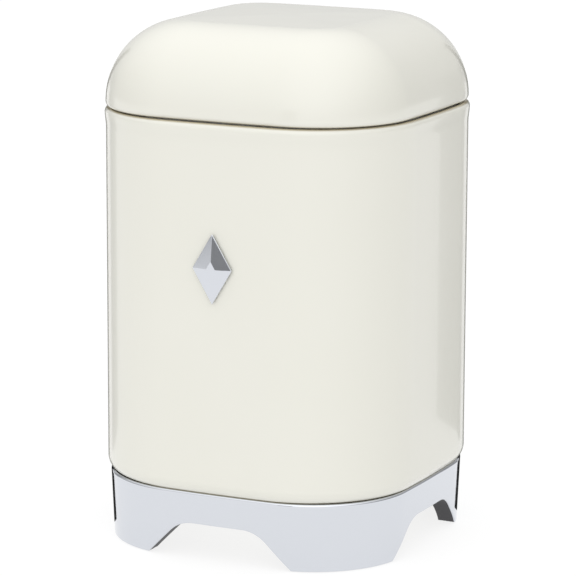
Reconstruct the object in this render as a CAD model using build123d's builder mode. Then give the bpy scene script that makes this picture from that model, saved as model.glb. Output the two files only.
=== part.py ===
from build123d import *
import os
from math import atan2, cos, degrees, radians, sin, sqrt, tan

# A square-shouldered kitchen canister: a painted steel tin with crowned sides, standing on
# a plated plinth with four corner feet, closed by a domed lid whose plug carries a flexible
# seal.  Millimetres, +Z up.  The origin is on the tin's axis at the level of the feet, and
# the badge faces -Y.
#
# Every ring-like piece follows a rounded square whose sides are shallow arcs.  A cross-
# section is drawn as (inset, height): inset is measured inwards from that square.

# ---- overall sizes ---------------------------------------------------------------------
body_width = 110.0  # across the middles of two opposite sides
body_corner = 37.7  # corner radius in plan
side_crown = 3.0  # how far the middle of a side stands past its ends
body_height = 122.1  # plinth to seam
plinth_height = 23.5
lid_shoulder = 27.2  # radius of the lid's shoulder

# ---- sheet metal -----------------------------------------------------------------------
sheet = 0.8
panel_sheet = 0.7
base_curl = 5.0  # outer radius where the wall rolls in under the tin
base_flange = 4.0  # flat rim inwards of that curl
rim_radius = 1.8  # outer radius of the rolled top rim
rim_flare = 0.4  # how far the rim stands out of the wall
flare_height = 4.0
neck_depth = 7.0  # length of the wall that is turned down inside the mouth

# ---- bottom panel ----------------------------------------------------------------------
compound_width = 0.6  # from the end of the curl to the edge of the panel
panel_border = 15.4  # flat border that carries the studs
panel_rise = 2.0
panel_step = 2.0  # slope's width in plan
panel_land = 1.0

# ---- plinth ----------------------------------------------------------------------------
plinth_inset = 1.54  # below the body's widest line
plinth_corner_step = 3.2  # tighter than the body's corner
plinth_taper = 0.95  # narrower at the feet than at the top
plinth_wall = 2.2
plinth_rounding = 0.5
foot_rounding = 1.0
seat_inset = 1.5  # where the tin's curl meets the plinth's top
seat_clearance = 0.1
ledge_reach = 8.0
ledge_thickness = 3.0
arch_half_width = 26.2
arch_height = 12.1
arch_slope = 44.5  # degrees from the table
arch_rounding = 12.0
return_depth = 6.1  # edge of each arch, turned inwards from the face at the feet
return_thickness = 2.0
lug_margin = 2.0  # round the washer

# ---- fasteners -------------------------------------------------------------------------
stud_radius = 1.95
stud_end = 3.7  # thread that stands out of the nut
flange_margin = 2.2  # from the wall's flange to the stud's weld base
weld_base_radius = 2.8
weld_base_height = 0.7
stud_hole_clearance = 0.35
washer_radius = 4.5
washer_thickness = 0.8
nut_across_flats = 7.0
nut_height = 3.2
thread_clearance = 0.05

# ---- lid -------------------------------------------------------------------------------
lid_inset = 0.8  # inside the body's widest line
lid_corner_step = 3.7  # tighter than the body's corner
lid_gap = 0.3  # open seam between the rim and the lid
lid_curl = 1.5
lid_flange = 4.9  # flat rim inwards of the curl
shoulder_end = 8.0  # degrees of slope where the shoulder turns into the crown
crown_land = 1.0  # corner radius that is left where the lid turns flat

# ---- plug and seal ---------------------------------------------------------------------
plug_clearance = 1.0  # from the neck
plug_wall = 1.6
plug_lead = 5.55  # skirt below the seal
plug_web = 1.6
web_drop = 2.2  # from the top of the skirt to the top of the web
tab_width = 12.0
tab_thickness = 1.5
tab_clearance = 0.12
tab_hook = 0.9
tab_head = 1.6
seal_height = 4.8
seal_overhang = 0.1  # from the neck's lower end to the seal's
seal_depth = 0.9  # depth of the groove
seal_fit = 0.05
seal_clearance = 0.2  # from the lips to the neck
lip_height = 1.2

# ---- badge -----------------------------------------------------------------------------
badge_width = 14.0
badge_height = 23.0
badge_edge = 0.6
badge_relief = 1.0
badge_crest = 0.22  # the flat crest as a share of the outline
badge_level = 98.5  # its middle above the table
tape_thickness = 0.5
tape_margin = 0.8
tape_overrun = 0.4  # drawn past the crowned wall, then cut to it

# ---- levels and places that follow -----------------------------------------------------
body_half = body_width / 2
side_radius = (body_half**2 + side_crown**2) / (2 * side_crown)
side_centre = side_radius - body_half  # every side arc is struck from this far behind
seam_level = plinth_height + body_height
rim_level = seam_level - lid_gap / 2
lid_level = seam_level + lid_gap / 2
curl_level = plinth_height + sqrt(base_curl**2 - (base_curl - seat_inset) ** 2)
base_level = curl_level - base_curl
panel_level = base_level + sheet
panel_inset = base_curl + compound_width
neck_inset = 2 * rim_radius - rim_flare
neck_level = rim_level - rim_radius - neck_depth

plinth_half = body_half - plinth_inset
plinth_corner = body_corner - plinth_corner_step
ledge_level = base_level - ledge_thickness
stud_inset = base_curl + base_flange + flange_margin + weld_base_radius
stud_bottom = ledge_level - washer_thickness - nut_height - stud_end
lug_radius = washer_radius + lug_margin

lid_half = body_half - lid_inset
lid_corner = body_corner - lid_corner_step
lid_widest = lid_level + lid_curl
shoulder_top = lid_widest + lid_shoulder * cos(radians(shoulder_end))
crown_start = lid_shoulder * (1 - sin(radians(shoulder_end)))
crown_inset = lid_corner - crown_land
crown_radius = (crown_inset - crown_start) / sin(radians(shoulder_end))
lid_top = shoulder_top + crown_radius * (1 - cos(radians(shoulder_end)))

plug_inset = neck_inset + plug_clearance
seal_level = neck_level - seal_overhang
plug_bottom = seal_level - plug_lead
web_level = lid_level - web_drop - plug_web


def arcs(half, corner):
    """The +X side and the corner after it: centre, radius, first bearing and turn in degrees.

    The side is struck from (-side_centre, 0) and touches the corner's arc, so the corner's
    centre (c, c) lies on a circle of radius side_centre + half - corner about that point.
    """
    reach = side_centre + half - corner
    c = (sqrt(2 * reach**2 - side_centre**2) - side_centre) / 2
    lean = degrees(atan2(c, c + side_centre))
    side = ((-side_centre, 0), side_centre + half, -lean, 2 * lean)
    return [side, ((c, c), corner, lean, 90 - 2 * lean)]


def ring(half, corner, draw):
    """Carry the section that draw(at) makes round the rounded square, one revolve per arc."""
    for quarter in range(4):
        for centre, radius, first, turn in arcs(half, corner):
            origin = Vector(*centre, 0).rotate(Axis.Z, 90 * quarter)
            bearing = radians(first + 90 * quarter)
            outward = (cos(bearing), sin(bearing), 0)
            upright = Plane(origin, x_dir=outward, z_dir=(sin(bearing), -cos(bearing), 0))
            with BuildSketch(upright) as section:
                with BuildLine():
                    draw(lambda inset, level: (radius - inset, level))
                make_face()
            revolve(section.sketch, axis=Axis(origin, (0, 0, 1)), revolution_arc=turn)


def outline(half, corner, inset=0.0):
    """The rounded square as a sketch face, moved inwards by inset."""
    with BuildLine() as square:
        for quarter in range(4):
            for centre, radius, first, turn in arcs(half, corner):
                middle = Vector(*centre, 0).rotate(Axis.Z, 90 * quarter)
                CenterArc(middle, radius - inset, first + 90 * quarter, turn)
    make_face(square.edges())


def polygon(*points):
    """A closed run of straight lines."""
    Polyline(*points, close=True)


def corner_reach(half, corner, inset):
    """Distance from the axis to a point on the diagonal, inset from the corner's face."""
    centre = arcs(half, corner)[1][0]
    return sqrt(2) * centre[0] + corner - inset


# ---- tin -------------------------------------------------------------------------------
def wall_section(at):
    """Outer face of the wall from the base flange up over the rim and down the neck."""
    end = at(base_curl + base_flange, base_level)
    curl_centre = at(base_curl, curl_level)
    flare = at(0, rim_level - rim_radius - flare_height)
    rim_centre = at(rim_radius - rim_flare, rim_level - rim_radius)
    rim = at(-rim_flare, rim_level - rim_radius)
    neck = at(neck_inset, rim_level - rim_radius)
    Line(end, at(base_curl, base_level))
    CenterArc(curl_centre, base_curl, -90, 90)
    Line(at(0, curl_level), flare)
    Line(flare, rim)
    CenterArc(rim_centre, rim_radius, 0, 180)
    Line(neck, at(neck_inset, neck_level))
    offset(amount=sheet, side=Side.LEFT)


with BuildPart() as body_shell:
    ring(body_half, body_corner, wall_section)


def panel_section(at):
    """Bottom panel from its edge, along the flat border and up the slope."""
    inner = panel_inset + panel_border
    Line(at(panel_inset, panel_level), at(inner, panel_level))
    Line(at(inner, panel_level), at(inner + panel_step, panel_level + panel_rise))
    raised = panel_level + panel_rise
    Line(at(inner + panel_step, raised), at(inner + panel_step + panel_land, raised))
    offset(amount=panel_sheet, side=Side.RIGHT)


with BuildPart() as body_bottom:
    ring(body_half, body_corner, panel_section)
    with BuildSketch(Plane.XY.offset(panel_level + panel_rise)) as panel_middle:
        outline(body_half, body_corner, panel_inset + panel_border + panel_step + panel_land)
    extrude(panel_middle.sketch, amount=panel_sheet)


def compound_section(at):
    """Fills the corner between the rolled wall and the edge of the bottom panel."""
    inner_radius = base_curl - sheet
    top = panel_level + panel_sheet
    swing = degrees(atan2(sqrt(inner_radius**2 - (curl_level - top) ** 2), curl_level - top))
    arc = CenterArc(at(base_curl, curl_level), inner_radius, -90, swing)
    Polyline(arc @ 1, at(panel_inset, top), at(panel_inset, panel_level), arc @ 0)


with BuildPart() as seam_seal:
    ring(body_half, body_corner, compound_section)


# ---- plinth ----------------------------------------------------------------------------
def plinth_section(at):
    """Tapered wall with a seat for the tin's curl and a ledge under its flange."""
    seat_radius = base_curl + seat_clearance
    seat_centre = base_curl - plinth_inset
    lip = curl_level - sqrt(seat_radius**2 - (seat_centre - plinth_rounding) ** 2)
    ledge_start = seat_centre - sqrt(seat_radius**2 - base_curl**2)
    foot = at(plinth_taper + foot_rounding, 0)
    heel = at(plinth_taper, foot_rounding)
    shoulder = at(0, lip - plinth_rounding)
    crest = at(plinth_rounding, lip)
    seat = at(ledge_start, base_level)
    RadiusArc(foot, heel, -foot_rounding)
    Line(heel, shoulder)
    RadiusArc(shoulder, crest, -plinth_rounding)
    RadiusArc(crest, seat, seat_radius)
    inner = plinth_taper + plinth_wall
    Polyline(
        seat,
        at(ledge_reach, base_level),
        at(ledge_reach, ledge_level),
        at(inner, ledge_level - (ledge_reach - inner)),
        at(inner, 0),
        foot,
    )


def arch_profile(margin=0.0):
    """One arch, grown by margin: sloping sides, a flat top and rounded upper corners."""
    half_width = arch_half_width + margin / sin(radians(arch_slope))
    height = arch_height + margin
    half_top = half_width - height / tan(radians(arch_slope))
    with BuildLine() as arch_line:
        polygon((-half_width, 0), (-half_top, height), (half_top, height), (half_width, 0))
    make_face(arch_line.edges())
    fillet(vertices().group_by(Axis.Y)[-1], arch_rounding + margin)


def return_section(at):
    """Solid ring, as deep as the arches' turned edges, that the arches are cut out of."""
    top = arch_height + return_thickness
    inner = plinth_taper + return_depth
    polygon(at(plinth_taper + foot_rounding, 0), at(inner, 0), at(inner, top), at(plinth_wall, top))


stud_reach = corner_reach(body_half, body_corner, stud_inset)
ledge_edge = corner_reach(plinth_half, plinth_corner, plinth_wall)

with BuildPart() as arch_returns:
    ring(plinth_half, plinth_corner, return_section)
    with BuildSketch(Plane.XZ) as x_bands:
        arch_profile(return_thickness)
    across = extrude(x_bands.sketch, amount=body_half, both=True, mode=Mode.PRIVATE)
    add(across + across.rotate(Axis.Z, 90), mode=Mode.INTERSECT)

with BuildPart() as plinth:
    ring(plinth_half, plinth_corner, plinth_section)
    add(arch_returns.part)
    with BuildSketch(Plane.XY.offset(ledge_level)) as lugs:
        with PolarLocations(stud_reach, 4, start_angle=45):
            Circle(lug_radius)
            Rectangle(
                ledge_edge - stud_reach,
                2 * lug_radius,
                align=(Align.MIN, Align.CENTER),
            )
    extrude(lugs.sketch, amount=ledge_thickness)
    for side in (Plane.XZ, Plane.YZ):
        with BuildSketch(side) as arch:
            arch_profile()
        extrude(arch.sketch, amount=body_half, both=True, mode=Mode.SUBTRACT)
    with BuildSketch(Plane.XY.offset(ledge_level)) as stud_holes:
        with PolarLocations(stud_reach, 4, start_angle=45):
            Circle(stud_radius + stud_hole_clearance)
    extrude(stud_holes.sketch, amount=ledge_thickness, mode=Mode.SUBTRACT)


# ---- fasteners -------------------------------------------------------------------------
with BuildPart() as weld_studs:
    with BuildSketch(Plane.XY.offset(panel_level)) as weld_bases:
        with PolarLocations(stud_reach, 4, start_angle=45):
            Circle(weld_base_radius)
    extrude(weld_bases.sketch, amount=-weld_base_height)
    with BuildSketch(Plane.XY.offset(panel_level)) as shanks:
        with PolarLocations(stud_reach, 4, start_angle=45):
            Circle(stud_radius)
    extrude(shanks.sketch, amount=stud_bottom - panel_level)

with BuildPart() as stud_washers:
    with BuildSketch(Plane.XY.offset(ledge_level)) as washer_rings:
        with PolarLocations(stud_reach, 4, start_angle=45):
            Circle(washer_radius)
            Circle(stud_radius + stud_hole_clearance, mode=Mode.SUBTRACT)
    extrude(washer_rings.sketch, amount=-washer_thickness)

with BuildPart() as stud_nuts:
    with BuildSketch(Plane.XY.offset(ledge_level - washer_thickness)) as nut_faces:
        with PolarLocations(stud_reach, 4, start_angle=45):
            RegularPolygon(nut_across_flats / 2, 6, major_radius=False)
            Circle(stud_radius + thread_clearance, mode=Mode.SUBTRACT)
    extrude(nut_faces.sketch, amount=-nut_height)


# ---- badge -----------------------------------------------------------------------------
def lozenge(width, height):
    """An upright diamond about the sketch's origin."""
    with BuildLine() as diamond:
        polygon((width / 2, 0), (0, height / 2), (-width / 2, 0), (0, -height / 2))
    make_face(diamond.edges())


def front_plane(distance):
    """Upright plane facing -Y at the badge's height, this far in front of the wall."""
    return Plane((0, -body_half - distance, badge_level), x_dir=(1, 0, 0), z_dir=(0, -1, 0))


with BuildPart() as badge:
    with BuildSketch(front_plane(tape_thickness)) as badge_back:
        lozenge(badge_width, badge_height)
    extrude(badge_back.sketch, amount=badge_edge)
    with BuildSketch(front_plane(tape_thickness + badge_edge)) as badge_girdle:
        lozenge(badge_width, badge_height)
    with BuildSketch(front_plane(tape_thickness + badge_edge + badge_relief)) as badge_top:
        lozenge(badge_crest * badge_width, badge_crest * badge_height)
    loft([badge_girdle.sketch.face(), badge_top.sketch.face()])

with BuildPart() as badge_tape:
    with BuildSketch(front_plane(tape_thickness)) as tape_face:
        lozenge(badge_width - 2 * tape_margin, badge_height - 2 * tape_margin)
    extrude(tape_face.sketch, amount=-tape_thickness - tape_overrun)
    with BuildSketch() as wall_plan:
        outline(body_half, body_corner)
    extrude(wall_plan.sketch, amount=seam_level, mode=Mode.SUBTRACT)


# ---- lid -------------------------------------------------------------------------------
def lid_section(at):
    """Outer face of the lid from its flange round the curl and over the shoulder."""
    Line(at(lid_curl + lid_flange, lid_level), at(lid_curl, lid_level))
    CenterArc(at(lid_curl, lid_widest), lid_curl, -90, 90)
    CenterArc(at(lid_shoulder, lid_widest), lid_shoulder, 0, 90 - shoulder_end)
    crown_centre = at(crown_inset, lid_top - crown_radius)
    CenterArc(crown_centre, crown_radius, 90 - shoulder_end, shoulder_end)
    offset(amount=sheet, side=Side.LEFT)


with BuildPart() as lid_shell:
    ring(lid_half, lid_corner, lid_section)
    with BuildSketch(Plane.XY.offset(lid_top)) as lid_middle:
        outline(lid_half, lid_corner, crown_inset)
    extrude(lid_middle.sketch, amount=-sheet)


def skirt_section(at):
    """Plug's skirt with the seal's groove in its outer face."""
    inner = plug_inset + plug_wall
    groove = plug_inset + seal_depth
    polygon(
        at(plug_inset, plug_bottom),
        at(plug_inset, seal_level),
        at(groove, seal_level),
        at(groove, seal_level + seal_height),
        at(plug_inset, seal_level + seal_height),
        at(plug_inset, lid_level),
        at(inner, lid_level),
        at(inner, plug_bottom),
    )


flange_half = lid_half - lid_curl - lid_flange  # from the axis to the lid's inner edge
flange_top = lid_level + sheet
tab_outer = flange_half - tab_clearance

with BuildPart() as lid_plug:
    ring(body_half, body_corner, skirt_section)
    with BuildSketch(Plane.XY.offset(web_level)) as web:
        outline(body_half, body_corner, plug_inset + plug_wall)
    extrude(web.sketch, amount=plug_web)
    with BuildSketch(Plane.XZ) as tab_profile:
        with BuildLine():
            polygon(
                (tab_outer, web_level + plug_web),
                (tab_outer, flange_top + tab_clearance),
                (tab_outer + tab_hook, flange_top + tab_clearance),
                (tab_outer, flange_top + tab_clearance + tab_head),
                (tab_outer - tab_thickness, flange_top + tab_clearance + tab_head),
                (tab_outer - tab_thickness, web_level + plug_web),
            )
        make_face()
    tab = extrude(tab_profile.sketch, amount=tab_width / 2, both=True, mode=Mode.PRIVATE)
    for quarter in range(4):
        add(tab.rotate(Axis.Z, 90 * quarter))


def seal_section(at):
    """Seal: a flat back in the groove and two pointed lips towards the neck."""
    back = plug_inset + seal_depth - seal_fit
    low = seal_level + seal_fit
    high = seal_level + seal_height - seal_fit
    tip = neck_inset + seal_clearance
    polygon(
        at(back, low),
        at(plug_inset, low),
        at(tip, low + lip_height / 2),
        at(plug_inset, low + lip_height),
        at(plug_inset, high - lip_height),
        at(tip, high - lip_height / 2),
        at(plug_inset, high),
        at(back, high),
    )


with BuildPart() as lid_seal:
    ring(body_half, body_corner, seal_section)


# ---- finished pieces -------------------------------------------------------------------
pieces = {
    "body_shell": body_shell,
    "body_bottom": body_bottom,
    "seam_seal": seam_seal,
    "plinth": plinth,
    "weld_studs": weld_studs,
    "stud_washers": stud_washers,
    "stud_nuts": stud_nuts,
    "badge": badge,
    "badge_tape": badge_tape,
    "lid_shell": lid_shell,
    "lid_plug": lid_plug,
    "lid_seal": lid_seal,
}

os.makedirs("parts", exist_ok=True)
for name, piece in pieces.items():
    piece.part.label = name
    export_step(piece.part, f"parts/{name}.step")
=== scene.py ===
import math

import bpy
import numpy as np
from mathutils import Matrix, Vector


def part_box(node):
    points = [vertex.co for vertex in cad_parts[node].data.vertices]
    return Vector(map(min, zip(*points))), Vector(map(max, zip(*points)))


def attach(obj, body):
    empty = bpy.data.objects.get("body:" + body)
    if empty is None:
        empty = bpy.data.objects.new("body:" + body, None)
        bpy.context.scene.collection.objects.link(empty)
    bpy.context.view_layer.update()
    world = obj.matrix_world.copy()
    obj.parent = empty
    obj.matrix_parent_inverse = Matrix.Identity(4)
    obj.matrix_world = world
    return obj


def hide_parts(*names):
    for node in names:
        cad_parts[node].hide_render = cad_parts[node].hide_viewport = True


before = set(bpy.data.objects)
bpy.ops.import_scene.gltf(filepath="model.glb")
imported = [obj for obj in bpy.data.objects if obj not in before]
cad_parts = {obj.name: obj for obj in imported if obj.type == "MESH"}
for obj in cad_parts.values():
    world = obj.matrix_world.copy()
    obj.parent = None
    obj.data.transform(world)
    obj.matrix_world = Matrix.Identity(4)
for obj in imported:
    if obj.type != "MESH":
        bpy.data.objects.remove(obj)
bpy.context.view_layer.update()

# A kitchen storage tin: enamelled steel on a plated plinth, with a domed lift-off lid.
# Every surface is worked out on a grid.  Columns go round a rounded square whose sides are
# shallow arcs, rows follow a section drawn as (inset from that square, height), both in
# millimetres, and the mesh is written in metres.

MM = 0.001

# ---- levels, from the frame --------------------------------------------------------------
wall_low, wall_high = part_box("body_shell")
lid_low, lid_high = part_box("lid_shell")
plug_low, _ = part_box("lid_plug")
panel_low, panel_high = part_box("body_bottom")
seal_low, seal_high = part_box("lid_seal")
badge_low, badge_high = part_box("badge")
washer_low, washer_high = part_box("stud_washers")
nut_low, nut_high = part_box("stud_nuts")
stud_low, stud_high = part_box("weld_studs")

base_level = wall_low.z / MM
rim_level = wall_high.z / MM
lid_level = lid_low.z / MM
lid_top = lid_high.z / MM
ledge_level = washer_high.z / MM

# ---- sizes, millimetres --------------------------------------------------------------------
BODY_HALF, BODY_CORNER = 55.0, 37.7
SIDE_CENTRE = 450.667  # every side's arc is struck from this far behind the axis
SHEET = 0.8
BASE_CURL, BASE_FLANGE = 5.0, 4.0
RIM_RADIUS, RIM_FLARE, FLARE_HEIGHT = 1.8, 0.4, 5.0
NECK_DEPTH = 7.0

PLINTH_HALF, PLINTH_CORNER = 53.46, 34.5
PLINTH_TAPER, PLINTH_WALL = 0.95, 2.2
LIP_ROUNDING, LIP_TURN, EDGE_ROUNDING = 0.9, 75, 0.4
RETURN_DEPTH, RETURN_THICKNESS = 6.1, 2.0
SEAT_GAP = 0.04
LEDGE_REACH, LEDGE_THICKNESS, LEDGE_BREAK = 8.0, 3.0, 0.4
ARCH_HALF, ARCH_HEIGHT, ARCH_SLOPE, ARCH_ROUNDING = 26.2, 12.1, math.radians(44.5), 12.0
LUG_RADIUS, LUG_LENGTH, LUG_HOLE, LUG_BREAK = 6.5, 9.0, 2.3, 0.4

LID_HALF, LID_CORNER = 54.2, 34.0
LID_CURL, LID_FLANGE = 1.5, 4.9
SHOULDER, SHOULDER_END = 27.2, 85.2  # radius, and degrees that its arc turns through

PLUG_INSET, PLUG_WALL = 4.2, 1.6
WEB_DROP, WEB_SHEET, WEB_DISH = 2.2, 1.6, 0.5
RIB_SUNK, RIB_DEPTH = 0.6, 3.2  # how far a rib reaches into the web, and its height
SEAL_GROOVE, SEAL_SLACK = 0.9, 0.05

PANEL_SHEET, PANEL_EDGE = 0.7, 5.6
PANEL_STEP_START, PANEL_STEP, PANEL_RING_DEPTH = 20.5, 3.5, 0.5

STUD_REACH, STUD_RADIUS, STUD_CORE = 47.7, 1.95, 1.45
WELD_BASE_RADIUS, WELD_BASE_HEIGHT = 2.8, 0.7
THREAD_PITCH, THREAD_DEPTH = 0.7, 0.36
NUT_HALF_FLATS, NUT_BORE = 3.5, 2.0
WASHER_RADIUS, WASHER_HOLE = 4.5, 2.3

SEAM_HALF_WIDTH, SEAM_HEIGHT = 0.9, 0.10
BADGE_EDGE, BADGE_CREST = 0.6, 0.22  # thickness of its rim, and the crest as a share of it


# ---- outlines and sections -----------------------------------------------------------------
def rounded_square(half, corner, side_steps=28, corner_steps=36, knots=()):
    """Columns round a rounded square, as arc centres, radii and bearings.

    A side is an arc struck from (-SIDE_CENTRE, 0) and the corner's arc touches it, so the
    corner's centre (c, c) lies at SIDE_CENTRE + half - corner from that point.  A knot is a
    distance from the middle of a side where a column has to stand.
    """
    reach = SIDE_CENTRE + half - corner
    c = (math.sqrt(2 * reach**2 - SIDE_CENTRE**2) - SIDE_CENTRE) / 2
    lean = math.atan2(c, c + SIDE_CENTRE)
    side_radius = SIDE_CENTRE + half
    end = side_radius * math.sin(lean)
    across = np.linspace(-end, end, side_steps + 1)
    turned = c + corner * np.sin(np.linspace(lean, math.pi / 4, corner_steps // 2 + 1)[1:])
    away = np.unique(np.round(np.concatenate([np.abs(across), turned, knots]), 6))
    away = np.concatenate([-away[::-1], away[away > 0]])[1:]
    on_side = np.abs(away) <= end + 1e-6
    lift = np.clip((np.abs(away) - c) / corner, -1, 1)
    bearing = np.where(on_side, np.arcsin(away / side_radius), np.sign(away) * np.arcsin(lift))
    centre_x = np.where(on_side, -SIDE_CENTRE, c)
    centre_y = np.where(on_side, 0.0, np.sign(away) * c)
    radius = np.where(on_side, side_radius, corner)
    quarters = []
    for quarter in range(4):
        turn = quarter * math.pi / 2
        x = centre_x * math.cos(turn) - centre_y * math.sin(turn)
        y = centre_x * math.sin(turn) + centre_y * math.cos(turn)
        quarters.append(np.stack([x, y, radius, bearing + turn, away], axis=1))
    return np.concatenate(quarters)


def carry(columns, inset, level, scale=1.0):
    """Points of the surface that a section makes when it is carried round the columns.

    A point lies on its column's arc at radius - inset; scale then draws it to the axis.
    """
    inset = np.broadcast_to(inset, (len(columns), np.shape(inset)[-1]))
    level = np.broadcast_to(level, inset.shape)
    scale = np.broadcast_to(scale, inset.shape)
    reach = columns[:, 2:3] - inset
    x = (columns[:, 0:1] + reach * np.cos(columns[:, 3:4])) * scale
    y = (columns[:, 1:2] + reach * np.sin(columns[:, 3:4])) * scale
    return np.stack([x, y, level], axis=2)


def bend(inset, level, radius, first, last, steps=10):
    """Arc of a section about (inset, level): 0 degrees is outermost and 90 the top."""
    angle = np.radians(np.linspace(first, last, steps + 1))
    return np.stack([inset - radius * np.cos(angle), level + radius * np.sin(angle)], axis=1)


def straight(start, end, steps=1):
    """Evenly spaced points of a section from start to end, both included."""
    return np.linspace(start, end, steps + 1)


def inward(path, thickness):
    """The path moved to its inner side: at right angles to its run, by thickness."""
    along = np.gradient(path, axis=0)
    along /= np.linalg.norm(along, axis=1, keepdims=True)
    return path + thickness * np.stack([along[:, 1], -along[:, 0]], axis=1)


def thicken(path, thickness):
    """Closes an open section: the path, then the same path moved inwards, back to its start."""
    path = path[np.append(True, np.linalg.norm(np.diff(path, axis=0), axis=1) > 1e-5)]
    return np.concatenate([path, inward(path, thickness)[::-1]])


# ---- meshes --------------------------------------------------------------------------------
def grid_faces(columns, rows, wrap_columns=True, wrap_rows=True):
    """Quads of a grid whose point (i, j) is number i * rows + j."""
    i = np.arange(columns if wrap_columns else columns - 1)
    j = np.arange(rows if wrap_rows else rows - 1)
    i, j = (a.ravel() for a in np.meshgrid(i, j, indexing="ij"))
    next_i, next_j = (i + 1) % columns, (j + 1) % rows
    corners = [i * rows + j, next_i * rows + j, next_i * rows + next_j, i * rows + next_j]
    return np.stack(corners, axis=1)


def make_piece(name, body, points, faces, materials, replaces=(), sharp=32, which=None):
    """Mesh from points in millimetres; which gives each face's place in materials."""
    mesh = bpy.data.meshes.new(name)
    mesh.from_pydata((np.asarray(points) * MM).tolist(), [], [list(f) for f in faces])
    for material in materials:
        mesh.materials.append(material)
    mesh.polygons.foreach_set("use_smooth", np.ones(len(mesh.polygons), bool))
    if which is not None:
        mesh.polygons.foreach_set("material_index", np.asarray(which, np.int32))
    mesh.update()
    mesh.set_sharp_from_angle(angle=math.radians(sharp))
    piece = bpy.data.objects.new(name, mesh)
    bpy.context.scene.collection.objects.link(piece)
    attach(piece, body)
    if replaces:
        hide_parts(*replaces)
    return piece


def ring_piece(name, body, grid, material, replaces=(), sharp=32):
    """A closed ring: the grid wraps both ways."""
    faces = grid_faces(*grid.shape[:2])
    make_piece(name, body, grid.reshape(-1, 3), faces, [material], replaces, sharp)


def disc_parts(grid, low_pole, high_pole):
    """Points and faces of a skin that runs from a pole, out and round an edge, to a pole."""
    columns, rows = grid.shape[:2]
    points = np.concatenate([grid.reshape(-1, 3), [low_pole, high_pole]])
    here = np.arange(columns) * rows
    after = np.roll(here, -1)
    low, high = columns * rows, columns * rows + 1
    fans = [np.stack([here, np.full(columns, low), after], axis=1)]
    fans.append(np.stack([here + rows - 1, after + rows - 1, np.full(columns, high)], axis=1))
    quads = grid_faces(columns, rows, wrap_rows=False)
    return points, [*quads.tolist(), *np.concatenate(fans).tolist()]


# ---- materials -----------------------------------------------------------------------------
def linear(colour):
    """An sRGB hex colour as linear RGBA."""
    values = [int(colour[i : i + 2], 16) / 255 for i in (1, 3, 5)]
    return [v / 12.92 if v <= 0.04045 else ((v + 0.055) / 1.055) ** 2.4 for v in values] + [1.0]


def new_material(name):
    """A material with its node tree, its shader and the place on the object, in metres."""
    material = bpy.data.materials.new(name)
    material.use_nodes = True
    tree = material.node_tree
    shader = tree.nodes["Principled BSDF"]
    place = tree.nodes.new("ShaderNodeTexCoord")
    return material, tree, shader, place.outputs["Object"]


def fill(tree, target, values):
    """Sets each named input of a node to a constant, or links it to another node's output."""
    for key, value in values.items():
        if isinstance(value, bpy.types.NodeSocket):
            tree.links.new(value, target.inputs[key])
        else:
            target.inputs[key].default_value = value


def node(tree, kind, inputs, **settings):
    """Adds a node, sets its properties, then sets or links its inputs."""
    added = tree.nodes.new(kind)
    for key, value in settings.items():
        setattr(added, key, value)
    fill(tree, added, inputs)
    return added


def per_metre(size_mm):
    """Texture scale whose features are size_mm apart."""
    return 1.0 / (size_mm * MM)


def seam_painted_shade(tree, place, level, reach):
    """1 at a level in a seam where the enamel gets painted shade, falling to 0 at reach above and
    below it.
    """
    height = node(tree, "ShaderNodeSeparateXYZ", {"Vector": place}).outputs["Z"]
    gap = node(tree, "ShaderNodeMath", {0: height, 1: level * MM}, operation="SUBTRACT")
    size = node(tree, "ShaderNodeMath", {0: gap.outputs[0]}, operation="ABSOLUTE")
    ends = {"From Min": 0.4 * reach * MM, "From Max": reach * MM, "To Min": 1.0, "To Max": 0.0}
    return node(tree, "ShaderNodeMapRange", {"Value": size.outputs[0], **ends}).outputs[0]


def cream_enamel():
    """Baked gloss enamel over steel: a warm cream, level and glossy, with the faint orange
    peel that sprayed enamel sets with, a slightly uneven film, and tan-brown painted shade at its
    two seams."""
    material, tree, shader, place = new_material("cream_baked_enamel")
    film = node(
        tree, "ShaderNodeTexNoise", {"Vector": place, "Scale": per_metre(40), "Detail": 3.0}
    ).outputs["Fac"]
    swell = node(
        tree, "ShaderNodeTexNoise", {"Vector": place, "Scale": per_metre(9.0), "Detail": 1.0}
    ).outputs["Fac"]
    peel = node(
        tree, "ShaderNodeTexNoise", {"Vector": place, "Scale": per_metre(1.6), "Detail": 1.0}
    ).outputs["Fac"]
    colours = {"Factor": film, "A": linear("#dddcd2"), "B": linear("#e0dfd6")}
    shade = node(tree, "ShaderNodeMix", colours, data_type="RGBA")
    # Painted shade: a tan-brown band (#9a8a5e, up to 0.7 of the mix) darkens the enamel just below
    # the lid's curl and just above the wall's base curl, where the gaps to the rim and the plinth
    # lie.
    lid_gap_shade = seam_painted_shade(tree, place, lid_level - 0.2, 0.7)
    plinth_gap_shade = seam_painted_shade(tree, place, base_level + 0.6, 0.8)
    gap_shade = node(tree, "ShaderNodeMath", {0: lid_gap_shade, 1: plinth_gap_shade}, operation="MAXIMUM")
    thin = node(tree, "ShaderNodeMath", {0: gap_shade.outputs[0], 1: 0.7}, operation="MULTIPLY")
    colours = {"Factor": thin.outputs[0], "A": shade.outputs["Result"], "B": linear("#9a8a5e")}
    paint = node(tree, "ShaderNodeMix", colours, data_type="RGBA")
    wavy = node(tree, "ShaderNodeBump", {"Strength": 0.25, "Distance": 0.00006, "Height": swell})
    relief = {"Strength": 0.22, "Distance": 0.000006, "Height": peel, "Normal": wavy.outputs[0]}
    gloss = node(tree, "ShaderNodeMapRange", {"Value": film, "To Min": 0.20, "To Max": 0.27})
    values = {
        "Base Color": paint.outputs["Result"],
        "Roughness": gloss.outputs[0],
        "IOR": 1.5,
        "Coat Weight": 0.5,
        "Coat Roughness": 0.05,
        "Normal": node(tree, "ShaderNodeBump", relief).outputs[0],
    }
    fill(tree, shader, values)
    return material


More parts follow.
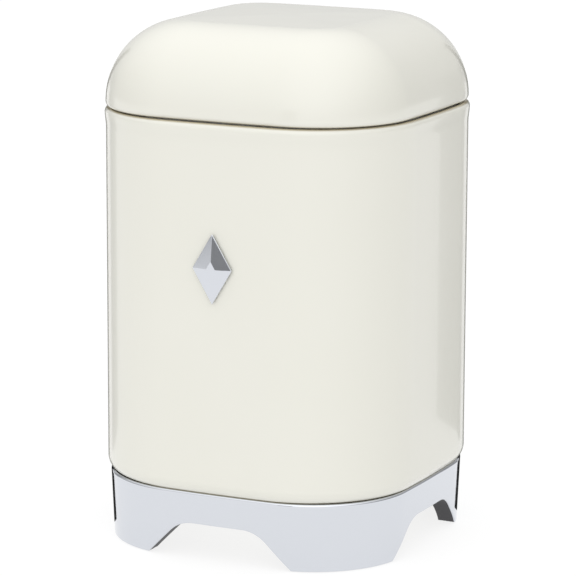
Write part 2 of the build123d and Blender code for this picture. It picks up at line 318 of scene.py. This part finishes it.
def bright_chrome():
    """Bright chrome plated over moulded ABS: a mirror with a cool tint, a very slight swell
    from the moulding under it and a few wiping marks."""
    material, tree, shader, place = new_material("bright_chrome_plating")
    stretched = node(tree, "ShaderNodeMapping", {"Vector": place, "Scale": (1.0, 1.0, 6.0)})
    wiping = {"Vector": stretched.outputs[0], "Scale": per_metre(22), "Detail": 4.0}
    wiped = node(tree, "ShaderNodeTexNoise", wiping).outputs["Fac"]
    swell = node(
        tree, "ShaderNodeTexNoise", {"Vector": place, "Scale": per_metre(14), "Detail": 1.0}
    ).outputs["Fac"]
    wavy = node(tree, "ShaderNodeBump", {"Strength": 0.3, "Distance": 0.00005, "Height": swell})
    gloss = node(tree, "ShaderNodeMapRange", {"Value": wiped, "To Min": 0.05, "To Max": 0.13})
    values = {
        "Base Color": linear("#d7dae0"),
        "Metallic": 1.0,
        "Roughness": gloss.outputs[0],
        "Normal": wavy.outputs[0],
    }
    fill(tree, shader, values)
    return material


def moulded(name, dark, light, roughness, grain_mm, depth, subsurface=0.0, ior=1.5):
    """Moulded plastic or rubber: one colour, slightly uneven, with the mould's fine grain."""
    material, tree, shader, place = new_material(name)
    cloud = node(
        tree, "ShaderNodeTexNoise", {"Vector": place, "Scale": per_metre(12), "Detail": 3.0}
    ).outputs["Fac"]
    grain = node(
        tree, "ShaderNodeTexNoise", {"Vector": place, "Scale": per_metre(grain_mm), "Detail": 2.0}
    ).outputs["Fac"]
    colours = {"Factor": cloud, "A": linear(dark), "B": linear(light)}
    shade = node(tree, "ShaderNodeMix", colours, data_type="RGBA")
    rough = node(tree, "ShaderNodeBump", {"Strength": 0.5, "Distance": depth, "Height": grain})
    ends = {"Value": cloud, "To Min": roughness, "To Max": roughness + 0.1}
    values = {
        "Base Color": shade.outputs["Result"],
        "Roughness": node(tree, "ShaderNodeMapRange", ends).outputs[0],
        "IOR": ior,
        "Normal": rough.outputs[0],
    }
    if subsurface:
        values["Subsurface Weight"] = subsurface
        values["Subsurface Radius"] = (0.004, 0.004, 0.003)
        values["Subsurface Scale"] = 0.6
    fill(tree, shader, values)
    return material


def zinc_steel():
    """Bright zinc plating on rolled steel: grey metal with a fine satin grain and dull spots."""
    material, tree, shader, place = new_material("zinc_plated_steel")
    spots = node(
        tree, "ShaderNodeTexNoise", {"Vector": place, "Scale": per_metre(3.0), "Detail": 4.0}
    ).outputs["Fac"]
    grain = node(
        tree, "ShaderNodeTexNoise", {"Vector": place, "Scale": per_metre(0.25), "Detail": 2.0}
    ).outputs["Fac"]
    colours = {"Factor": spots, "A": linear("#a9abad"), "B": linear("#c6c8ca")}
    shade = node(tree, "ShaderNodeMix", colours, data_type="RGBA")
    rough = node(tree, "ShaderNodeBump", {"Strength": 0.4, "Distance": 0.00002, "Height": grain})
    gloss = node(tree, "ShaderNodeMapRange", {"Value": spots, "To Min": 0.22, "To Max": 0.42})
    values = {
        "Base Color": shade.outputs["Result"],
        "Metallic": 1.0,
        "Roughness": gloss.outputs[0],
        "Normal": rough.outputs[0],
    }
    fill(tree, shader, values)
    return material


enamel = cream_enamel()
chrome = bright_chrome()
# Plastic where the plating stops, on the plinth's inner faces, the turned edges under its arches
# and the lugs: dark grey and matte. This is a painted shade for the shaded floor that these faces
# reflect under the tin.
shaded_plastic = moulded("plinth_inside_shade", "#242327", "#2e2d31", 0.5, 0.4, 0.00004)
# Natural polypropylene: milky, with a satin skin and a little light passing through it.
plug_plastic = moulded("natural_polypropylene", "#e4e3dc", "#edece6", 0.34, 0.5, 0.00003, 0.2)
# Silicone rubber: soft, milky and slightly dusty.
silicone = moulded("milky_silicone", "#d9d8d2", "#e6e5df", 0.42, 0.3, 0.00002, 0.35, 1.41)
# Closed-cell foam under the badge: dark and fully matte.
foam = moulded("dark_foam_tape", "#232326", "#2e2e31", 0.85, 0.3, 0.0001)
# Sealing compound: dried grey rubber.
compound = moulded("grey_sealing_compound", "#55565a", "#626368", 0.55, 0.5, 0.00004)
zinc = zinc_steel()


# ---- tin -----------------------------------------------------------------------------------
def wall_path():
    """Outer face of the wall: flange, curl, wall, flare, rolled rim and the neck inside."""
    curl_level = base_level + BASE_CURL
    rim_centre = rim_level - RIM_RADIUS
    lift = np.linspace(0, 1, 13)
    ease = lift**2 * (3 - 2 * lift)
    flare = np.stack([-RIM_FLARE * ease, rim_centre - FLARE_HEIGHT * (1 - lift)], axis=1)
    neck_inset = 2 * RIM_RADIUS - RIM_FLARE
    return np.concatenate(
        [
            straight((BASE_CURL + BASE_FLANGE, base_level), (BASE_CURL, base_level), 3),
            bend(BASE_CURL, curl_level, BASE_CURL, -90, 0, 18),
            straight((0, curl_level), (0, rim_centre - FLARE_HEIGHT), 24),
            flare,
            bend(RIM_RADIUS - RIM_FLARE, rim_centre, RIM_RADIUS, 0, 180, 24),
            straight((neck_inset, rim_centre), (neck_inset, rim_centre - NECK_DEPTH), 6),
        ]
    )


def weld_seam(grid, columns):
    """Raises the outer wall by a low rounded ridge up the middle of the back."""
    at_back = np.abs(columns[:, 3] - math.pi / 2) < 0.1
    round_top = np.clip(1 - (columns[:, 4] / SEAM_HALF_WIDTH) ** 2, 0, 1)
    hump = np.where(at_back, round_top, 0) * SEAM_HEIGHT
    above = np.clip((grid[..., 2] - base_level - BASE_CURL) / 3, 0, 1)
    below = np.clip((rim_level - 8 - grid[..., 2]) / 3, 0, 1)
    grid[..., 1] += hump[:, None] * above * below
    return grid


tin_columns = rounded_square(BODY_HALF, BODY_CORNER, knots=np.arange(0.15, 1.2, 0.15))
wall_section = thicken(wall_path(), SHEET)
wall_grid = weld_seam(carry(tin_columns, *wall_section.T), tin_columns)
ring_piece("tin_wall", "tin", wall_grid, enamel, ["body_shell"], sharp=50)


def panel_top():
    """Top face of the bottom panel from its edge to the land inside the step."""
    border, land = panel_low.z / MM + PANEL_SHEET, panel_high.z / MM
    step = np.linspace(0, 1, 13)
    ease = step**2 * (3 - 2 * step)
    rise = [PANEL_STEP_START + PANEL_STEP * step, border + (land - border) * ease]
    flat = straight((PANEL_EDGE, border), (PANEL_STEP_START, border), 6)
    return np.concatenate([flat, np.stack(rise, axis=1)])


def bottom_panel():
    """Pressed panel: flat border, a soft step up and a flat middle with two rings pressed in."""
    columns = rounded_square(BODY_HALF, BODY_CORNER)
    path = panel_top()
    size = np.linspace(1, 0, 25)[1:-1]
    inset = np.concatenate([path[:, 0], np.full(len(size), path[-1, 0])])
    scale = np.concatenate([np.ones(len(path)), size])
    level = np.concatenate([path[:, 1], np.full(len(size), path[-1, 1])])
    rings = np.exp(-(((size - 0.80) / 0.045) ** 2)) + np.exp(-(((size - 0.5) / 0.05) ** 2))
    level[len(path) :] -= PANEL_RING_DEPTH * rings
    top = carry(columns, inset, level, scale)
    under = carry(columns, inset[::-1], level[::-1] - PANEL_SHEET, scale[::-1])
    grid = np.concatenate([under, top], axis=1)
    middle = path[-1, 1]
    points, faces = disc_parts(grid, (0, 0, middle - PANEL_SHEET), (0, 0, middle))
    make_piece(
        "bottom_panel", "tin", points, faces, [enamel], ["body_bottom"]
    )


bottom_panel()


# ---- plinth --------------------------------------------------------------------------------
def arch_level(away, margin=0.0):
    """Height of an arch's outline, grown by margin, at a distance from the middle of a side:
    a flat top, a rounding, a straight slope, and the table beyond the arch."""
    away = np.abs(away)
    half, height, rounding = (
        ARCH_HALF + margin / math.sin(ARCH_SLOPE),
        ARCH_HEIGHT + margin,
        ARCH_ROUNDING + margin,
    )
    half_top = half - height / math.tan(ARCH_SLOPE)
    flat_end = half_top - rounding * math.tan(ARCH_SLOPE / 2)
    slope_start = flat_end + rounding * math.sin(ARCH_SLOPE)
    round_part = np.sqrt(np.clip(rounding**2 - (away - flat_end) ** 2, 0, None))
    level = np.where(away < flat_end, height, height - rounding + round_part)
    slope = (half - away) * math.tan(ARCH_SLOPE)
    return np.where(away < slope_start, level, np.clip(slope, 0, None))


def plinth_piece():
    """Tapered wall whose lower edge follows the arches and turns inwards along them, with a
    rounded lip, a seat for the tin and a ledge inside."""
    half_end = ARCH_HALF + RETURN_THICKNESS / math.sin(ARCH_SLOPE)
    # a column on each side of the places where an arch and its turned edge end
    ends = [ARCH_HALF - 0.001, ARCH_HALF, ARCH_HALF + 0.01, half_end - 0.01, half_end + 0.01]
    fine = np.concatenate([np.arange(8.0, 33.0, 0.4), ends])
    columns = rounded_square(PLINTH_HALF, PLINTH_CORNER, 32, 44, knots=fine)
    count = len(columns)
    away = columns[:, 4:5]
    # sine of a column's bearing from the middle of its own side
    lean = np.sin((columns[:, 3:4] + math.pi / 4) % (math.pi / 2) - math.pi / 4)
    seat_radius, seat_centre = BASE_CURL + SEAT_GAP, BASE_CURL - (BODY_HALF - PLINTH_HALF)
    curl_level = base_level + BASE_CURL
    lip_turn = math.radians(LIP_TURN)
    tip_inset = LIP_ROUNDING * (1 - math.cos(lip_turn))
    lip = curl_level - math.sqrt(seat_radius**2 - (seat_centre - tip_inset) ** 2)
    shoulder = lip - LIP_ROUNDING * math.sin(lip_turn)

    def taper(level):
        return PLINTH_TAPER * np.clip(1 - level / shoulder, 0, 1)

    def under(inset, margin=0.0):
        """Height of the arch below a point that lies inset from the outline."""
        return arch_level(away - inset * lean, margin)

    # outer face, bottom rounding first
    turn = np.radians(np.linspace(-90, 0, 6))
    edge = under(PLINTH_TAPER)
    low = edge + EDGE_ROUNDING * (1 + np.sin(turn))
    low_inset = taper(low) + EDGE_ROUNDING * (1 - np.cos(turn))
    wall = low[:, -1:] + (shoulder - low[:, -1:]) * np.linspace(0, 1, 21)[1:]
    crest = bend(LIP_ROUNDING, shoulder, LIP_ROUNDING, 0, LIP_TURN, 12)[1:]
    seat_angle = np.degrees(np.arcsin((seat_centre - tip_inset) / seat_radius))
    ledge_angle = np.degrees(np.arccos(BASE_CURL / seat_radius))
    seat = bend(seat_centre, curl_level, seat_radius, seat_angle - 90, ledge_angle - 90, 10)
    ledge = np.array(
        [
            (seat_centre, base_level),
            (LEDGE_REACH - LEDGE_BREAK, base_level),
            (LEDGE_REACH, base_level - LEDGE_BREAK),
            (LEDGE_REACH, ledge_level + LEDGE_BREAK),
            (LEDGE_REACH - LEDGE_BREAK, ledge_level),
        ]
    )
    inner = PLINTH_TAPER + PLINTH_WALL
    chamfer_end = ledge_level - (LEDGE_REACH - inner)
    fixed = np.concatenate([crest, seat, ledge, [(inner, chamfer_end)]])
    # inner face down to the arch's turned edge, out along its top and back along its underside;
    # where there is no arch the turned edge shrinks into the wall's own bottom edge
    turned_in = np.where(np.abs(away) < half_end, PLINTH_TAPER + RETURN_DEPTH, inner)
    top = np.where(np.abs(away) < half_end, arch_level(away, RETURN_THICKNESS), 0.3)
    top = np.maximum(top, edge + 0.01)
    inside = chamfer_end + (top - chamfer_end) * np.linspace(0, 1, 5)[1:]
    shelf_inset = inner + (turned_in - inner) * np.array([0.5, 1.0])
    shelf = np.maximum(np.repeat(top, 2, axis=1), under(turned_in) + 0.01)
    sole_inset = turned_in + (PLINTH_TAPER + 2 * EDGE_ROUNDING - turned_in) * np.linspace(0, 1, 6)
    sole = under(sole_inset)
    inset = np.concatenate(
        [
            low_inset,
            taper(wall),
            np.tile(fixed[:, 0], (count, 1)),
            np.full(inside.shape, inner),
            shelf_inset,
            sole_inset,
        ],
        axis=1,
    )
    levels = [low, wall, np.tile(fixed[:, 1], (count, 1)), inside, shelf, sole]
    grid = carry(columns, inset, np.concatenate(levels, axis=1))
    faces = grid_faces(*grid.shape[:2])
    row = np.arange(len(faces)) % grid.shape[1]
    # Rows inside the lip take the dark grey plastic, which paints in shade there.
    shaded_rows = row >= low.shape[1] + wall.shape[1] + len(crest)
    make_piece(
        "plinth_ring",
        "tin",
        grid.reshape(-1, 3),
        faces,
        [chrome, shaded_plastic],
        ["plinth"],
        sharp=28,
        which=shaded_rows,
    )


plinth_piece()


def about_studs(points):
    """The same points at each of the four studs, turned with their corner."""
    copies = []
    for corner in range(4):
        turn = math.pi / 4 + corner * math.pi / 2
        x = STUD_REACH + points[:, 0]
        copies.append(
            np.stack(
                [
                    x * math.cos(turn) - points[:, 1] * math.sin(turn),
                    x * math.sin(turn) + points[:, 1] * math.cos(turn),
                    points[:, 2],
                ],
                axis=1,
            )
        )
    return np.concatenate(copies)


def four_of(name, points, faces, material, replaces=(), sharp=32):
    """One mesh that holds a copy of the shape at each stud."""
    faces = [[i + k * len(points) for i in f] for k in range(4) for f in faces]
    make_piece(name, "tin", about_studs(points), faces, [material], replaces, sharp)


def turned(reach, level, angles):
    """Grid about an upright axis: point (angle, row) at reach from it."""
    x = reach * np.cos(angles)[:, None]
    y = reach * np.sin(angles)[:, None]
    return np.stack([x, y, np.broadcast_to(level, x.shape)], axis=2)


def lugs():
    """Tabs that the studs pass through: round towards the axis, square towards the wall."""
    angles = np.linspace(0, 2 * math.pi, 73)[:-1]
    side = LUG_RADIUS / np.clip(np.abs(np.sin(angles)), 1e-6, None)
    front = LUG_LENGTH / np.clip(np.cos(angles), 1e-6, None)
    outer = np.where(np.cos(angles) > 0, np.minimum(side, front), LUG_RADIUS)[:, None]
    level = ledge_level + np.array([0, LUG_BREAK, LEDGE_THICKNESS, LEDGE_THICKNESS, 0.3, 0])
    hole = np.full_like(outer, LUG_HOLE)
    reach = np.concatenate([outer - LUG_BREAK, outer, outer, hole, hole, hole + 0.3], axis=1)
    grid = turned(reach, level, angles)
    faces = grid_faces(*grid.shape[:2])
    four_of("plinth_lugs", grid.reshape(-1, 3), faces, shaded_plastic, ["plinth"])


def threaded(angles, level, radius, fade):
    """Radius of a 60 degree thread: a ramp down and up once in each pitch, as deep as fade."""
    phase = (level / THREAD_PITCH - angles[:, None] / (2 * math.pi)) % 1.0
    tooth = np.clip(1.25 * np.abs(2 * phase - 1) - 0.125, 0, 1)
    return radius - THREAD_DEPTH * tooth * fade


def studs():
    """Weld base, plain neck and M4 thread down to a chamfered end."""
    angles = np.linspace(0, 2 * math.pi, 37)[:-1]
    low, high = stud_low.z / MM, stud_high.z / MM
    neck = high - WELD_BASE_HEIGHT
    level = low + (neck - low) * np.linspace(0, 1, 150)
    end = np.clip((level - low) / 0.5, 0, 1)
    fade = np.clip((high - 1.6 - level) / 0.6, 0, 1)
    reach = np.minimum(threaded(angles, level, STUD_RADIUS, fade), STUD_CORE + 0.5 * end)
    base_level_rows = np.array([neck, neck + 0.1, high - 0.1, high])
    base_reach = WELD_BASE_RADIUS - np.array([0.15, 0, 0, 0.1])
    base = np.broadcast_to(base_reach, (len(angles), 4))
    grid = turned(
        np.concatenate([reach, base], axis=1), np.concatenate([level, base_level_rows]), angles
    )
    points, faces = disc_parts(grid, (0, 0, low), (0, 0, high))
    four_of("threaded_studs", points, faces, zinc, ["weld_studs"])


def nuts():
    """Hexagon nuts: six flats cut by a 30 degree cone at each end, and a plain bore."""
    angles = np.linspace(0, 2 * math.pi, 73)[:-1]
    low, high = nut_low.z / MM, nut_high.z / MM
    hexagon = NUT_HALF_FLATS / np.cos((angles + math.pi / 6) % (math.pi / 3) - math.pi / 6)
    cut = np.array([0, 0.12, 0.25, 0.45])
    level = np.concatenate([low + cut, high - cut[::-1]])
    depth = np.minimum(level - low, high - level)
    cone = NUT_HALF_FLATS * 0.97 + depth / math.tan(math.radians(30))
    outer = np.minimum(hexagon[:, None], cone)
    bore_level = np.array([high, high - 0.3, low + 0.3, low])
    bore_reach = NUT_BORE + np.array([0.3, 0, 0, 0.3])
    bore = np.broadcast_to(bore_reach, (len(angles), 4))
    grid = turned(
        np.concatenate([outer, bore], axis=1), np.concatenate([level, bore_level]), angles
    )
    faces = grid_faces(*grid.shape[:2])
    four_of("hexagon_nuts", grid.reshape(-1, 3), faces, zinc, ["stud_nuts"], 20)


def washers():
    """Stamped washers: one edge rounded by the punch, the other square."""
    angles = np.linspace(0, 2 * math.pi, 49)[:-1]
    low, high = washer_low.z / MM, washer_high.z / MM
    outer = WASHER_RADIUS - np.array([0.2, 0.05, 0, 0])
    hole = WASHER_HOLE + np.array([0, 0, 0.1])
    reach = np.broadcast_to(np.concatenate([outer, hole]), (len(angles), 7))
    level = np.array([low, low + 0.07, low + 0.25, high, high, low + 0.15, low])
    grid = turned(reach, level, angles)
    faces = grid_faces(*grid.shape[:2])
    four_of("flat_washers", grid.reshape(-1, 3), faces, zinc, ["stud_washers"])


lugs()
studs()
nuts()
washers()


# ---- badge ---------------------------------------------------------------------------------
def badge_piece():
    """Upright diamond in four mirror facets that rise to a small flat crest."""
    half_w = (badge_high.x - badge_low.x) / MM / 2
    half_h = (badge_high.z - badge_low.z) / MM / 2
    middle = (badge_high.z + badge_low.z) / MM / 2
    front, back = badge_low.y / MM, badge_high.y / MM
    corners = np.array([(1, 0), (0, 1), (-1, 0), (0, -1)], float) * (half_w, half_h)
    size = np.array([1.0, 1.0, BADGE_CREST])
    depth = np.array([back, back - BADGE_EDGE, front])
    grid = np.empty((4, 3, 3))
    grid[..., 0] = corners[:, :1] * size
    grid[..., 1] = depth
    grid[..., 2] = middle + corners[:, 1:] * size
    faces = grid_faces(4, 3, wrap_rows=False).tolist() + [[9, 6, 3, 0], [2, 5, 8, 11]]
    points = grid.reshape(-1, 3)
    piece = make_piece(
        "diamond_badge", "tin", points, faces, [chrome], ["badge"], 10
    )
    edge = piece.modifiers.new("worn_edges", "BEVEL")
    edge.width, edge.segments, edge.limit_method = 0.00012, 3, "ANGLE"
    edge.angle_limit = math.radians(8)


badge_piece()


# ---- lid -----------------------------------------------------------------------------------
def lid_piece():
    """Flange, curl and shoulder as a carried section; inside the shoulder's end the outline
    keeps its shape and only shrinks, while the crown rises as the square of that size."""
    columns = rounded_square(LID_HALF, LID_CORNER, 32, 48)
    widest = lid_level + LID_CURL
    path = np.concatenate(
        [
            straight((LID_CURL + LID_FLANGE, lid_level), (LID_CURL, lid_level), 3),
            bend(LID_CURL, widest, LID_CURL, -90, 0, 12),
            bend(SHOULDER, widest, SHOULDER, 0, SHOULDER_END, 72)[1:],
        ]
    )
    edge = path[-1]
    size = np.linspace(1, 0, 34)[1:-1]
    crown = edge[1] + (lid_top - edge[1]) * (1 - size**2)
    inset = np.concatenate([path[:, 0], np.full(len(size), edge[0])])
    level = np.concatenate([path[:, 1], crown])
    scale = np.concatenate([np.ones(len(path)), size])
    outer = carry(columns, inset, level, scale)
    inner_path = inward(path, SHEET)
    inner_inset = np.concatenate([inner_path[:, 0], np.full(len(size), edge[0])])
    inner_level = np.concatenate([inner_path[:, 1], crown - SHEET])
    inner = carry(columns, inner_inset[::-1], inner_level[::-1], scale[::-1])
    grid = np.concatenate([inner, outer], axis=1)
    points, faces = disc_parts(grid, (0, 0, lid_top - SHEET), (0, 0, lid_top))
    make_piece("lid_dome", "lid", points, faces, [enamel], ["lid_shell"], 50)


lid_piece()


def plug_skirt():
    """Skirt of the plug: a groove for the seal, a lead-in below it and rounded edges."""
    columns = rounded_square(BODY_HALF, BODY_CORNER)
    low = plug_low.z / MM
    groove_low, groove_high = seal_low.z / MM - SEAL_SLACK, seal_high.z / MM + SEAL_SLACK
    outer, inner, groove = PLUG_INSET, PLUG_INSET + PLUG_WALL, PLUG_INSET + SEAL_GROOVE
    section = np.concatenate(
        [
            [(inner - 0.4, low)],
            bend(outer + 0.9, low + 0.5, 0.5, -90, -20, 5),
            [(outer, low + 2.5), (outer, groove_low - 0.1), (outer + 0.1, groove_low)],
            [(groove, groove_low), (groove, groove_high), (outer + 0.1, groove_high)],
            [(outer, groove_high + 0.1), (outer, lid_level), (inner, lid_level)],
            [(inner, low + 0.4)],
        ]
    )
    grid = carry(columns, *section.T)
    ring_piece("plug_skirt", "lid", grid, plug_plastic, ["lid_plug"])


def plug_web():
    """Web across the plug with a shallow dish in its underside."""
    columns = rounded_square(BODY_HALF, BODY_CORNER)
    top = lid_level - WEB_DROP
    under = top - WEB_SHEET
    edge = PLUG_INSET + PLUG_WALL - 0.2
    size = np.linspace(0, 1, 22)[1:]
    dish = WEB_DISH * np.clip(1 - (size / 0.82) ** 8, 0, 1)
    low = carry(columns, np.full(len(size), edge), under + dish, size)
    high = carry(columns, np.full(len(size), edge), np.full(len(size), top), size[::-1])
    grid = np.concatenate([low, high], axis=1)
    points, faces = disc_parts(grid, (0, 0, under + WEB_DISH), (0, 0, top))
    material = [plug_plastic]
    make_piece("plug_web", "lid", points, faces, material, ["lid_plug"])


def seal_ring():
    """Flexible seal: a flat back in the groove and two lips with rounded tips."""
    columns = rounded_square(BODY_HALF, BODY_CORNER)
    low, high = seal_low.z / MM, seal_high.z / MM
    back = PLUG_INSET + SEAL_GROOVE - SEAL_SLACK
    tip = PLUG_INSET - 0.8
    lips = []
    for middle in (low + 0.6, high - 0.6):
        lips.append([(PLUG_INSET + 0.05, middle - 0.6)])
        lips.append(bend(tip + 0.22, middle, 0.22, -70, 70, 6))
        lips.append([(PLUG_INSET + 0.05, middle + 0.6)])
    section = np.concatenate([[(back, low)], *lips, [(back, high)]])
    grid = carry(columns, *section.T)
    ring_piece("seal_ring", "lid", grid, silicone, ["lid_seal"])


def plug_ribs():
    """Stiffening ribs under the web: a bar along each half-diagonal and each half-side, and
    a ring bar that joins them.  A bar is a tapered box, 1.4 mm at its root and 1.0 at its edge."""
    top = lid_level - WEB_DROP - WEB_SHEET + RIB_SUNK
    edge = top - RIB_DEPTH
    points, faces = [], []
    box = [(0, 1, 2, 3), (7, 6, 5, 4), (0, 4, 5, 1), (1, 5, 6, 2), (2, 6, 7, 3), (3, 7, 4, 0)]
    for k in range(8):
        turn = k * math.pi / 4
        start, end = 8.0, 41.0 if k % 2 == 0 else 45.0
        faces += [[i + 8 * k for i in f] for f in box]
        for z, half in ((top, 0.7), (edge, 0.5)):
            for along, across in ((start, -half), (end, -half), (end, half), (start, half)):
                x = along * math.cos(turn) - across * math.sin(turn)
                y = along * math.sin(turn) + across * math.cos(turn)
                points.append((x, y, z))
    material = [plug_plastic]
    piece = make_piece(
        "plug_ribs", "lid", points, faces, material, ["lid_plug"]
    )
    soft = piece.modifiers.new("rounded_edges", "BEVEL")
    soft.width, soft.segments = 0.00025, 2
    angles = np.linspace(0, 2 * math.pi, 97)[:-1]
    reach = np.broadcast_to([8.6, 8.5, 7.5, 7.4], (len(angles), 4))
    grid = turned(reach, np.array([top, edge, edge, top]), angles)[::-1]
    ring_piece("plug_hub", "lid", grid, plug_plastic, ["lid_plug"])


plug_skirt()
plug_web()
plug_ribs()
seal_ring()

for name, material in (("badge_tape", foam), ("seam_seal", compound)):
    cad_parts[name].data.materials.clear()
    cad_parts[name].data.materials.append(material)


# ---- studio --------------------------------------------------------------------------------
AZIMUTH = math.radians(25.83)
FLOOR_REACH, FLOOR_DROP = 3.0, 0.0002  # metres; the drop keeps it off the feet's own faces


def studio_floor():
    """Pale matt floor, which glows a little, as paper on a lit table does."""
    mesh = bpy.data.meshes.new("floor")
    ends = ((-1, -1), (1, -1), (1, 1), (-1, 1))
    corners = [(x * FLOOR_REACH, y * FLOOR_REACH, -FLOOR_DROP) for x, y in ends]
    mesh.from_pydata(corners, [], [(0, 1, 2, 3)])
    floor = bpy.data.objects.new("floor", mesh)
    bpy.context.scene.collection.objects.link(floor)
    material, tree, shader, _ = new_material("pale_floor")
    values = {
        "Base Color": linear("#757575"),
        "Roughness": 0.9,
        "Specular IOR Level": 0.0,
        "Emission Color": (1, 1, 1, 1),
        "Emission Strength": 0.83,
    }
    fill(tree, shader, values)
    mesh.materials.append(material)


def flag(name, across, behind, width, low, high, shade="#151515"):
    """Upright card that only reflections see: it draws the thin dark line of a studio edge.
    across and behind are its place as the camera sees it, in millimetres."""
    rightwards = np.array([math.cos(AZIMUTH), math.sin(AZIMUTH)])
    backwards = np.array([-math.sin(AZIMUTH), math.cos(AZIMUTH)])
    middle = across * rightwards + behind * backwards
    left, right = ((middle + side * width / 2 * rightwards) * MM for side in (-1, 1))
    mesh = bpy.data.meshes.new(name)
    corners = [(*left, low * MM), (*right, low * MM), (*right, high * MM), (*left, high * MM)]
    mesh.from_pydata(corners, [], [(0, 1, 2, 3)])
    material, tree, shader, _ = new_material("black_card")
    fill(tree, shader, {"Base Color": linear(shade), "Roughness": 1.0})
    mesh.materials.append(material)
    card = bpy.data.objects.new(name, mesh)
    bpy.context.scene.collection.objects.link(card)
    card.visible_camera = card.visible_diffuse = card.visible_shadow = False


def studio_camera():
    """Long lens at the front right, a little above the lid, turned 26 degrees round."""
    azimuth, elevation, roll = AZIMUTH, math.radians(11.38), math.radians(0.21)
    distance, target = 1.083, np.array([0, 0, 0.090])
    back = np.array(
        [
            math.sin(azimuth) * math.cos(elevation),
            -math.cos(azimuth) * math.cos(elevation),
            math.sin(elevation),
        ]
    )
    right = np.cross([0, 0, 1], back)
    right /= np.linalg.norm(right)
    up = np.cross(back, right)
    right, up = (
        right * math.cos(roll) + up * math.sin(roll),
        up * math.cos(roll) - right * math.sin(roll),
    )
    data = bpy.data.cameras.new("camera")
    data.sensor_width, data.lens, data.shift_y = 36.0, 201.1, -0.0403
    data.clip_start, data.clip_end = 0.05, 20.0
    camera = bpy.data.objects.new("camera", data)
    bpy.context.scene.collection.objects.link(camera)
    place = np.eye(4)
    place[:3] = np.stack([right, up, back, target + back * distance], axis=1)
    camera.matrix_world = Matrix(place.tolist())
    bpy.context.scene.camera = camera


def studio_world():
    """White to the camera.  To every other ray it is a large soft light: brightest overhead and
    to the front, dim behind the tin, and dimmer to the left and right of the camera, so that
    the tin's edges and the top of its lid darken."""
    world = bpy.data.worlds.new("white_studio")
    bpy.context.scene.world = world
    world.use_nodes = True
    tree = world.node_tree
    direction = node(tree, "ShaderNodeTexCoord", {}).outputs["Generated"]
    key = Vector((0.0, -0.42, 0.90)).normalized()
    towards = node(tree, "ShaderNodeVectorMath", {0: direction, 1: key}, operation="DOT_PRODUCT")
    ends = {"From Min": -0.2, "From Max": 1.0, "To Min": 0.64, "To Max": 1.64}
    ends["Value"] = towards.outputs["Value"]
    glow = node(tree, "ShaderNodeMapRange", ends, interpolation_type="SMOOTHSTEP")
    across = (math.cos(AZIMUTH), math.sin(AZIMUTH), 0)
    lean = {0: direction, 1: across}
    sideways = node(tree, "ShaderNodeVectorMath", lean, operation="DOT_PRODUCT").outputs["Value"]
    square = node(tree, "ShaderNodeMath", {0: sideways, 1: sideways}, operation="MULTIPLY")
    dimming = {0: square.outputs[0], 1: -0.5, 2: 1.0}
    dimmed = node(tree, "ShaderNodeMath", dimming, operation="MULTIPLY_ADD")
    both = {0: glow.outputs[0], 1: dimmed.outputs[0]}
    light = node(tree, "ShaderNodeMath", both, operation="MULTIPLY")
    seen = node(tree, "ShaderNodeLightPath", {}).outputs["Is Camera Ray"]
    strength = node(tree, "ShaderNodeMix", {"Factor": seen, "A": light.outputs[0], "B": 1.0})
    lit = {"Color": (1, 1, 1, 1), "Strength": strength.outputs["Result"]}
    fill(tree, tree.nodes["Background"], lit)


studio_floor()
studio_world()
studio_camera()
# Dark strips beside the left and right edges of the base and of the tin, a wide grey card
# further out on each side, and a far one at the front left that one facet of the badge reflects.
flag("left_base_flag", -62, 0, 10, 0, 22)
flag("left_flag", -63.5, 0, 4, 22, 172)
flag("right_base_flag", 62, 16, 10, 0, 22)
flag("right_flag", 63.5, 16, 4, 22, 172)
flag("left_card", -150, 74, 60, 0, 175, "#9a9a9a")
flag("right_card", 150, 90, 60, 0, 175, "#9a9a9a")
flag("far_flag", -770, -1290, 500, 0, 350, "#989898")
bpy.context.scene.view_settings.view_transform = "Standard"
